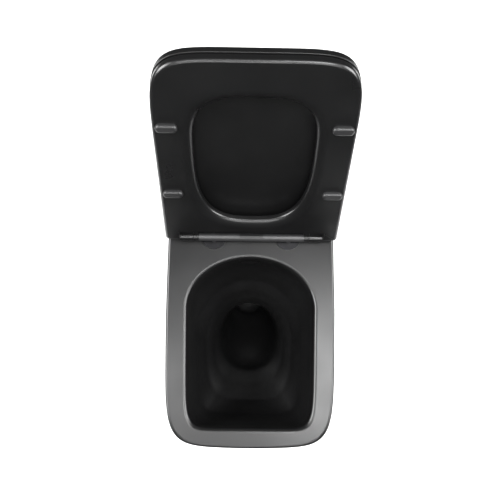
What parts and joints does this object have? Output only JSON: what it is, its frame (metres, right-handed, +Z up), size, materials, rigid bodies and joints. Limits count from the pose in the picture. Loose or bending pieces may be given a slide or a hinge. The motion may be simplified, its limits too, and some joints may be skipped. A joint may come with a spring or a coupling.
{
  "type": "close coupled toilet pan with seat and lid",
  "caption": "Square rimless black toilet pan with a rear cistern deck, soft-close seat ring and lid raised on a quick-release hinge bar.",
  "frame": {"origin": "centre of the bounding box at floor level, on the centre line; the hinge axis is 100 mm behind it", "axes": "+Z up, -Y to the front, +X to the right as seen from the front of the pan looking back"},
  "size_m": [0.353, 0.6419, 0.8],
  "materials": {
    "china": "satin black glazed vitreous china",
    "seat": "satin black moulded resin",
    "lid": "satin black moulded resin",
    "bumper": "dark grey soft pad",
    "bar": "satin black housing",
    "button": "satin black push button",
    "damper": "plain drawn tube",
    "steel": "plain stainless steel",
    "base_metal": "black coated metal",
    "rubber": "moulded rubber",
    "brass": "turned brass"
  },
  "bodies": {
    "pan": {"pan": "china", "base_screw_left": "steel", "base_screw_right": "steel", "rubber_sleeve_left": "rubber", "rubber_sleeve_right": "rubber", "sleeve_nut_left": "brass", "sleeve_nut_right": "brass"},
    "hinge_bases": {"hinge_base_left": "base_metal", "hinge_base_right": "base_metal"},
    "hinge_bar": {"hinge_bar": "bar", "damper_left": "damper", "damper_right": "damper", "button_spring": "steel"},
    "button": {"release_button": "button"},
    "latch_left": {"latch_left": "steel"},
    "latch_right": {"latch_right": "steel"},
    "lid": {"lid": "lid", "lid_bumper_left": "bumper", "lid_bumper_right": "bumper", "lid_pin": "steel"},
    "seat": {"seat_ring": "seat", "seat_bumper_front_left": "bumper", "seat_bumper_front_right": "bumper", "seat_bumper_back_left": "bumper", "seat_bumper_back_right": "bumper", "seat_pin": "steel"}
  },
  "joints": [
    {"name": "base_adjust", "type": "slide", "parent": "pan", "child": "hinge_bases", "axis": [0, -1, 0], "range_m": [-0.005, 0.005]},
    {"name": "quick_release", "type": "slide", "parent": "hinge_bases", "child": "hinge_bar", "axis": [0, 0, 1], "range_m": [0, 0.04]},
    {"name": "button_press", "type": "slide", "parent": "hinge_bar", "child": "button", "axis": [0, 0, -1], "range_m": [0, 0.0025], "stiffness_N_per_m": 400, "deforming": ["button_spring"]},
    {"name": "latch_left_draw", "type": "slide", "parent": "hinge_bar", "child": "latch_left", "axis": [1, 0, 0], "range_m": [0, 0.0025]},
    {"name": "latch_right_draw", "type": "slide", "parent": "hinge_bar", "child": "latch_right", "axis": [-1, 0, 0], "range_m": [0, 0.0025]},
    {"name": "lid_hinge", "type": "hinge", "parent": "hinge_bar", "child": "lid", "pos_m": [0, 0.1, 0.42], "axis": [1, 0, 0], "range_deg": [0, 118]},
    {"name": "seat_hinge", "type": "hinge", "parent": "lid", "child": "seat", "pos_m": [0, 0.1, 0.42], "axis": [-1, 0, 0], "range_deg": [-118, 0]}
  ],
  "couplings": [
    {"joint": "latch_left_draw", "follows": "button_press", "ratio": 1},
    {"joint": "latch_right_draw", "follows": "button_press", "ratio": 1}
  ]
}
